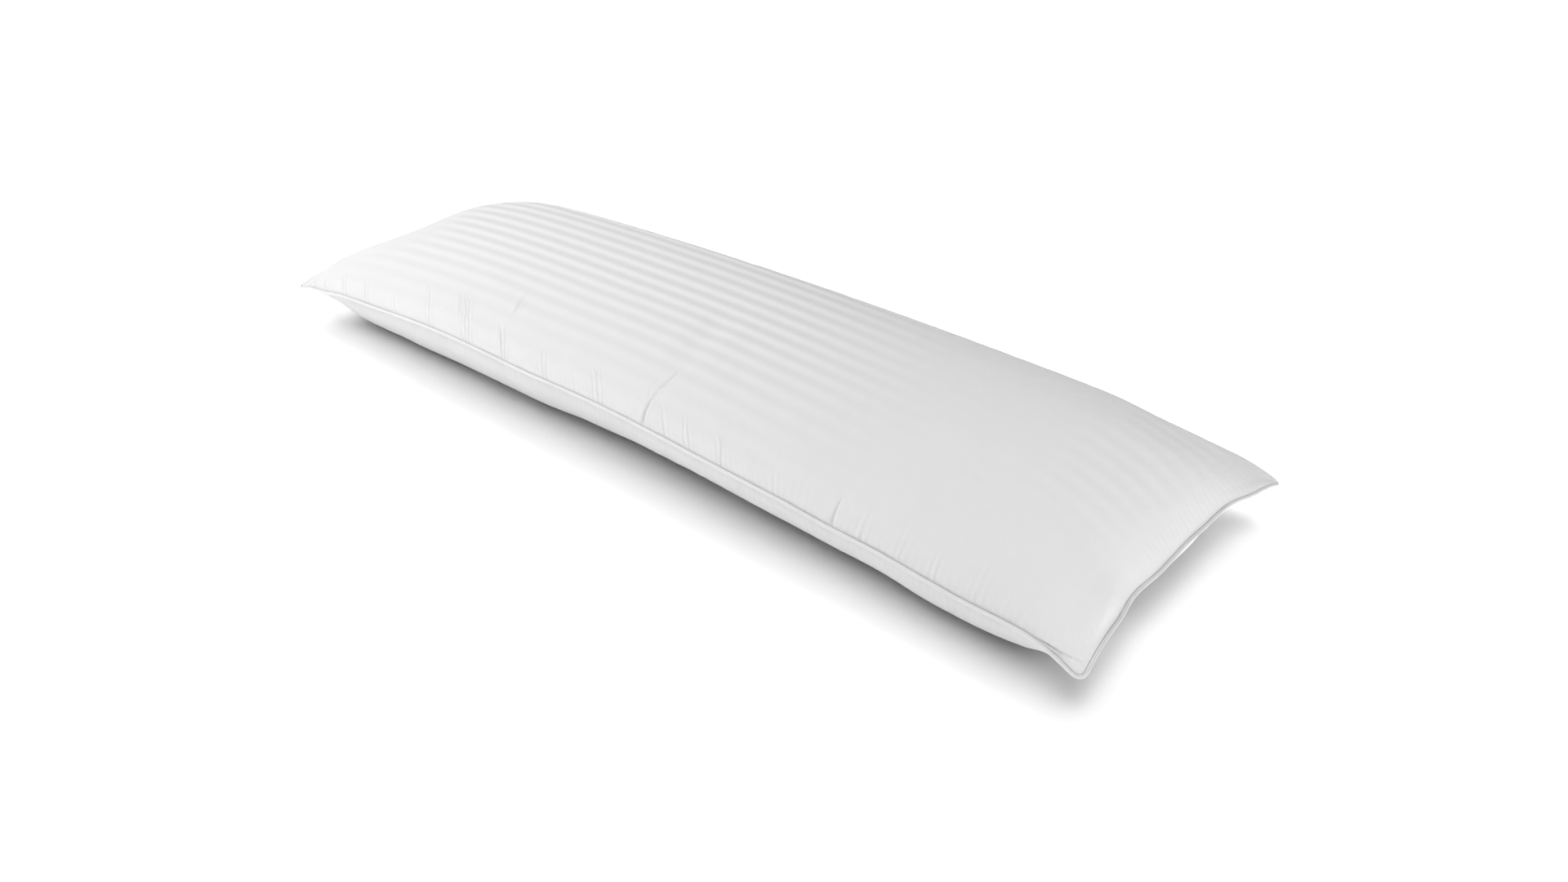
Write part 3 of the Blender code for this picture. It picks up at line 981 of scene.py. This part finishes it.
# %% Relief of the cotton
THREAD_PITCH = 0.0007
THREAD_DEPTH = 0.00004
CRINKLES_A_METRE = 70
CRINKLE_DEPTH = 0.0011
CRINKLE_STRETCH = (1, 0.45, 1)
GATHER_PITCH = 0.0092
GATHER_UNEVENNESS = 1.6
UNEVEN_A_METRE = 28
UNEVEN_STRETCH = (1, 0.2, 1)


def threads(tree, along, pitch):
    """A row of rounded threads: 1 on top of a thread and 0 between two."""
    wave = add_math(tree, "COSINE", add_math(tree, "MULTIPLY", along, 2 * pi / pitch))
    return add_math(tree, "ADD", add_math(tree, "MULTIPLY", wave, 0.5), 0.5)


def gather_lines(tree, cloth, line_place):
    """Parallel lines at an uneven pitch: 1 on a ridge and 0 between two."""
    unevenness = add_noise(tree, stretched(tree, cloth, UNEVEN_STRETCH), UNEVEN_A_METRE, detail=1)
    shift = add_math(tree, "MULTIPLY", unevenness, GATHER_UNEVENNESS * GATHER_PITCH)
    return threads(tree, add_math(tree, "ADD", line_place, shift), GATHER_PITCH)


def cloth_relief(tree, cloth, along, across, satin, side_lines, side_depth):
    """The gathers, a soft crinkle, and the threads: crossed in the plain weave, slanted in satin."""
    gathers = add_bump(tree, side_lines, side_depth)
    end_lines = gather_lines(tree, cloth, across)
    gathers = add_bump(tree, end_lines, add_attribute(tree, "end_gathers"), over=gathers)
    crinkle = add_noise(tree, stretched(tree, cloth, CRINKLE_STRETCH), CRINKLES_A_METRE, detail=3)
    crinkled = add_bump(tree, crinkle, CRINKLE_DEPTH, over=gathers)
    one_way, other_way = threads(tree, along, THREAD_PITCH), threads(tree, across, THREAD_PITCH)
    plain_threads = add_math(tree, "MULTIPLY", one_way, other_way)
    satin_threads = threads(tree, add_math(tree, "ADD", along, across), THREAD_PITCH)
    thread_height = add_mix(tree, "FLOAT", satin, plain_threads, satin_threads)
    return add_bump(tree, thread_height, THREAD_DEPTH, over=crinkled)


# %% [markdown]
# ## Striped cotton
# The cover is one white yarn woven two ways: satin stripes and plain stripes, so that the stripes are
# a slight change of gloss, not a print. Their change of brightness is painted sheen: the white is a mix
# of a lighter satin white and a darker plain white, and where the painted sheen doesn't show, both
# weaves have the white halfway between. A faint mottle keeps the panel from looking like plaster, and
# the furrow of a gather is painted a little darker than the ridge beside it, as painted shade.

# %% Weave the striped cotton
# The lighter and darker whites of the painted stripe sheen, with the cloth's own white halfway between.
SATIN_WHITE_PAINTED_SHEEN = (0.900, 0.900, 0.900)
PLAIN_WHITE_PAINTED_DARKER = (0.775, 0.775, 0.777)
HALFWAY = 0.5
SATIN_ROUGHNESS = 0.65
PLAIN_ROUGHNESS = 0.85
COTTON_GLOSS = 0.15
COTTON_SHEEN = 0.03
MOTTLES_A_METRE = 30
MOTTLE = 0.14
# Painted shade in the gathers: how much whiter a ridge and darker a furrow is painted, per metre of depth.
PAINTED_GATHER_SHADE = 600


def striped_cotton():
    material = bpy.data.materials.new("striped_cotton")
    material.use_nodes = True
    tree = material.node_tree
    shader = tree.nodes["Principled BSDF"]
    uv_map = tree.nodes.new("ShaderNodeUVMap")
    uv_map.uv_map = "cloth_metres"
    cloth = uv_map.outputs["UV"]
    along, across, _ = separated(tree, cloth)

    # 0 in the middle of a plain stripe, 1 in the middle of a satin one
    satin = threads(tree, add_math(tree, "ADD", across, STRIPE_PITCH / 2 - FIRST_STRIPE), STRIPE_PITCH)
    # Painted sheen: the satin stripes are painted lighter and the plain ones darker, as strongly as each
    # point says.
    painted_sheen_contrast = around_zero(tree, satin, add_attribute(tree, "painted_stripe_sheen"))
    mottled = around_zero(tree, add_noise(tree, cloth, MOTTLES_A_METRE, detail=3), MOTTLE)
    side_depth = add_attribute(tree, "side_gathers")
    side_lines = gather_lines(tree, cloth, add_attribute(tree, "gather_place"))
    # Painted shade: the gathers' furrows are painted darker than their ridges, then added to the random
    # mottle.
    painted_furrow_shade = around_zero(tree, side_lines, add_math(tree, "MULTIPLY", side_depth, PAINTED_GATHER_SHADE))
    uneven = add_math(tree, "ADD", mottled, painted_furrow_shade)
    whiteness = add_math(tree, "ADD", add_math(tree, "ADD", painted_sheen_contrast, uneven), HALFWAY)
    white = add_mix(tree, "RGBA", whiteness, PLAIN_WHITE_PAINTED_DARKER, SATIN_WHITE_PAINTED_SHEEN)
    tree.links.new(white, shader.inputs["Base Color"])
    roughness = add_mix(tree, "FLOAT", satin, PLAIN_ROUGHNESS, SATIN_ROUGHNESS)
    tree.links.new(roughness, shader.inputs["Roughness"])
    shader.inputs["Specular IOR Level"].default_value = COTTON_GLOSS
    shader.inputs["Sheen Weight"].default_value = COTTON_SHEEN
    relief = cloth_relief(tree, cloth, along, across, satin, side_lines, side_depth)
    tree.links.new(relief, shader.inputs["Normal"])
    print("striped cotton:", len(tree.nodes), "nodes")
    return material


cover.data.materials.append(striped_cotton())

# %% [markdown]
# ## The piping's cotton
# The strip round the cord is cut on the bias, slantwise to the threads, so that it bends round the
# corners without folds. So its threads run askew over the cord. It is the plain weave throughout and
# has no stripe.

# %% Cut the piping's strip
PIPING_WHITE = (0.88, 0.88, 0.88, 1)
PIPING_ROUGHNESS = 0.75


def piping_cotton():
    material = bpy.data.materials.new("piping_cotton")
    material.use_nodes = True
    tree = material.node_tree
    shader = tree.nodes["Principled BSDF"]
    x, y, z = separated(tree, tree.nodes.new("ShaderNodeTexCoord").outputs["Object"])
    bias = add_math(tree, "ADD", add_math(tree, "ADD", x, y), z)
    slanted_threads = add_bump(tree, threads(tree, bias, THREAD_PITCH), THREAD_DEPTH)
    tree.links.new(slanted_threads, shader.inputs["Normal"])
    shader.inputs["Base Color"].default_value = PIPING_WHITE
    shader.inputs["Roughness"].default_value = PIPING_ROUGHNESS
    shader.inputs["Specular IOR Level"].default_value = COTTON_GLOSS
    print("piping cotton:", len(tree.nodes), "nodes")
    return material


piping.data.materials.append(piping_cotton())

# %% [markdown]
# ## Light on the pillow
# Broad soft lights from the front left make the pillow white on the left and grey towards its right
# end. A low one in front lifts the narrow strip below the seam, and the ones at the right show the
# puckers by their shade. Their strengths were fitted to the greys of the photograph. The closest one
# lights the cover alone and passes through the piping, which would shine beside it.

# %% Light the pillow
MIDDLE = (0, 0, 0.08)
for name, place, size, watts in (
        ("front_softbox", (-0.47, -1.30, 2.20), 1.4, 23.5),
        ("high_front_left_softbox", (-0.97, -0.97, 2.20), 1.4, 6.0),
        ("front_left_softbox", (-1.41, -1.41, 1.67), 1.3, 11.7),
        ("low_front_softbox", (-0.60, -2.10, 0.25), 1.0, 2.1),
        ("left_softbox", (-1.99, 0, 1.67), 1.3, 7.0),
        ("low_left_softbox", (-2.36, 0, 1.10), 1.2, 8.0),
        ("back_left_softbox", (-1.67, 1.67, 1.10), 1.2, 9.4),
        ("over_left_softbox", (-0.40, 0.35, 0.95), 0.6, 0.6),
        ("right_softbox", (2.36, 0, 1.10), 1.2, 18.0)):
    softbox(name, place, MIDDLE, size, watts, lights_only=[cover, piping])
close_right = softbox("close_right_softbox", (1.5, 0, 0.75), MIDDLE, size=0.8, watts=3.0, lights_only=[cover])
close_right.light_linking.blocker_collection = close_right.light_linking.receiver_collection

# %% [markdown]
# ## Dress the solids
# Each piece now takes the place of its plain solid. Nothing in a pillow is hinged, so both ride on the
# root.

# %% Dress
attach(cover, "root")
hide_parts("filled_cover")
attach(piping, "root")
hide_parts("piping")
print("dressed:", cover.name, "and", piping.name)
